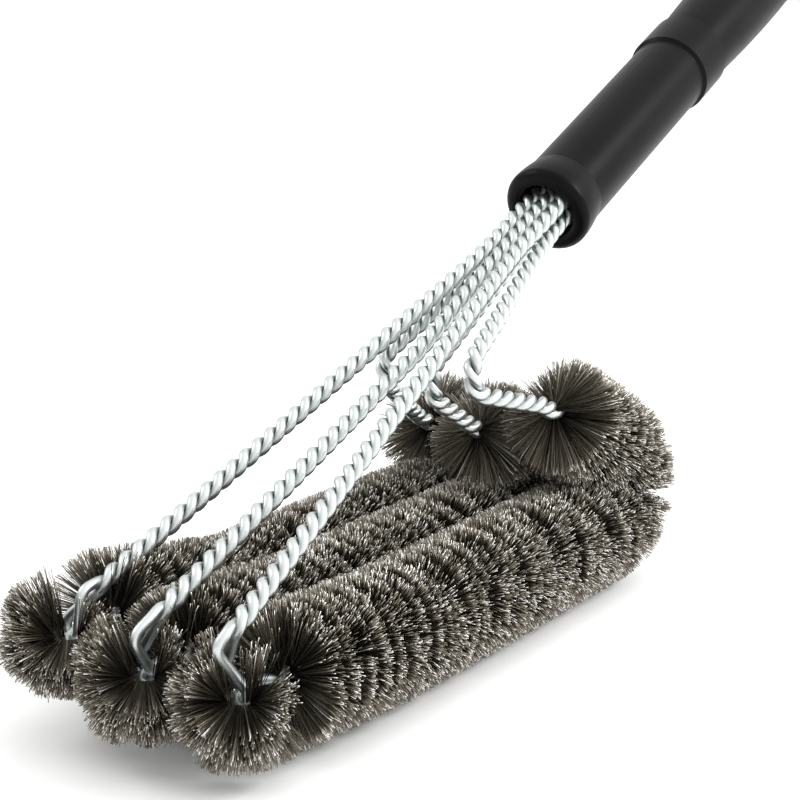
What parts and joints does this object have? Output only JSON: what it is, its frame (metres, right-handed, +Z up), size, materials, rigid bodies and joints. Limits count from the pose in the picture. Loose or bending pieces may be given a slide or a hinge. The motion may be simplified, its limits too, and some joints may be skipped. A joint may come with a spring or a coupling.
{
  "type": "grill cleaning brush",
  "caption": "Grill brush with side-by-side twisted-wire spiral brushes looped back under wire supports, on a tubular black handle with a swinging hanging ring.",
  "frame": {"origin": "on the surface the brush rests on, under the middle of the whole brush's box", "axes": "+X from the scrubbing head back to the handle's end, +Y to the left-hand brush, +Z up from the bristle tips"},
  "size_m": [0.4354, 0.0972, 0.2225],
  "materials": {
    "handle_plastic": "satin",
    "plug_plastic": "matte",
    "tube_metal": "satin",
    "pin_steel": "satin",
    "hanger_steel": "satin",
    "wire_steel": "satin",
    "bristle_steel": "satin"
  },
  "bodies": {
    "brush": {"bristles_curl_left": "bristle_steel", "bristles_curl_middle": "bristle_steel", "bristles_curl_right": "bristle_steel", "bristles_nose_left": "bristle_steel", "bristles_nose_middle": "bristle_steel", "bristles_nose_right": "bristle_steel", "bristles_run_left": "bristle_steel", "bristles_run_middle": "bristle_steel", "bristles_run_right": "bristle_steel", "core_wire_left": "wire_steel", "core_wire_middle": "wire_steel", "core_wire_right": "wire_steel", "end_cap": "handle_plastic", "front_sleeve": "handle_plastic", "joining_tube": "tube_metal", "plug_pin": "pin_steel", "rear_grip": "handle_plastic", "stem_wire_left": "wire_steel", "stem_wire_middle": "wire_steel", "stem_wire_right": "wire_steel", "support_wire_left": "wire_steel", "support_wire_middle": "wire_steel", "support_wire_right": "wire_steel", "wire_plug": "plug_plastic"},
    "ring": {"hang_ring": "hanger_steel"}
  },
  "joints": [
    {"name": "ring_swing", "type": "hinge", "parent": "brush", "child": "ring", "pos_m": [0.21225, 0, 0.21444], "axis": [0, -1, 0], "range_deg": [-8, 230]}
  ]
}
